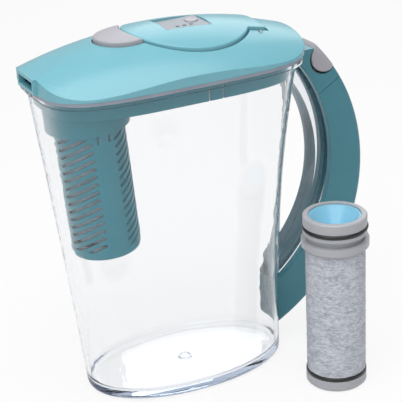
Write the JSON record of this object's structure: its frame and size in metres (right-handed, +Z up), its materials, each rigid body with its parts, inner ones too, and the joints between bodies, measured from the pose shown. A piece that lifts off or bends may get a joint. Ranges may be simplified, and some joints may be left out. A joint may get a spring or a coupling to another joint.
{
  "type": "water filter pitcher",
  "caption": "Clear oval pitcher with a domed lid that pours through a caged filter cartridge; flip-up fill door, indicator, arched handle and a spare cartridge.",
  "frame": {"origin": "centre of the jug's flat foot", "axes": "+Z up, +X toward the handle, the spout toward -X"},
  "size_m": [0.2547, 0.16, 0.2638],
  "materials": {
    "clear": "clear moulded plastic",
    "teal": "satin moulded plastic",
    "deep_teal": "satin moulded plastic",
    "grey": "satin moulded plastic",
    "white_plastic": "satin moulded plastic",
    "rubber": "moulded sealing rubber",
    "grey_rubber": "moulded sealing rubber",
    "felt": "speckled felt",
    "blue": "moulded plastic",
    "steel": "drawn wire",
    "lens": "clear light pipe",
    "board": "coated board"
  },
  "bodies": {
    "jug_body": {"jug": "clear", "handle_grip": "teal", "handle_head": "teal", "thumb_spring": "steel"},
    "lid": {"lid_shell": "teal", "lid_underframe": "teal", "lid_seal": "grey_rubber", "door_hinge_pin": "steel", "door_button_spring": "steel"},
    "door": {"fill_door": "teal", "door_liner": "teal", "circuit_board": "board", "coin_cell": "steel", "tact_switch": "white_plastic", "indicator_bezel": "grey", "indicator_lenses": "lens"},
    "release": {"door_button": "grey"},
    "reset": {"reset_button": "grey"},
    "thumb": {"thumb_button": "grey"},
    "filter": {"filter_cage": "deep_teal", "filter_base_cap": "grey", "filter_felt": "felt", "filter_top_cap": "grey", "filter_core": "blue", "filter_lower_ring": "rubber", "filter_upper_ring": "rubber"},
    "spare": {"spare_base_cap": "grey", "spare_felt": "felt", "spare_top_cap": "grey", "spare_core": "blue", "spare_lower_ring": "rubber", "spare_upper_ring": "rubber"}
  },
  "joints": [
    {"name": "lid_lift", "type": "slide", "parent": "jug_body", "child": "lid", "axis": [0, 0, 1], "range_m": [0, 0.16]},
    {"name": "door_hinge", "type": "hinge", "parent": "lid", "child": "door", "pos_m": [0.0605, 0, 0.252], "axis": [0, 1, 0], "range_deg": [0, 100]},
    {"name": "release_press", "type": "slide", "parent": "lid", "child": "release", "axis": [0, 0, -1], "range_m": [0, 0.002], "stiffness_N_per_m": 1500, "deforming": ["door_button_spring"]},
    {"name": "reset_press", "type": "slide", "parent": "door", "child": "reset", "axis": [0, 0, -1], "range_m": [0, 0.0005], "stiffness_N_per_m": 800},
    {"name": "thumb_press", "type": "slide", "parent": "jug_body", "child": "thumb", "axis": [-0.7716, 0, -0.6361], "range_m": [0, 0.0012], "stiffness_N_per_m": 2000, "deforming": ["thumb_spring"]},
    {"name": "filter_twist", "type": "hinge", "parent": "lid", "child": "filter", "pos_m": [-0.0555, 0, 0.11], "axis": [-0.0698, 0, 0.9976], "range_deg": [0, 40]},
    {"name": "spare_lift", "type": "slide", "parent": "jug_body", "child": "spare", "axis": [0, 0, 1], "range_m": [0, 0.12]}
  ]
}
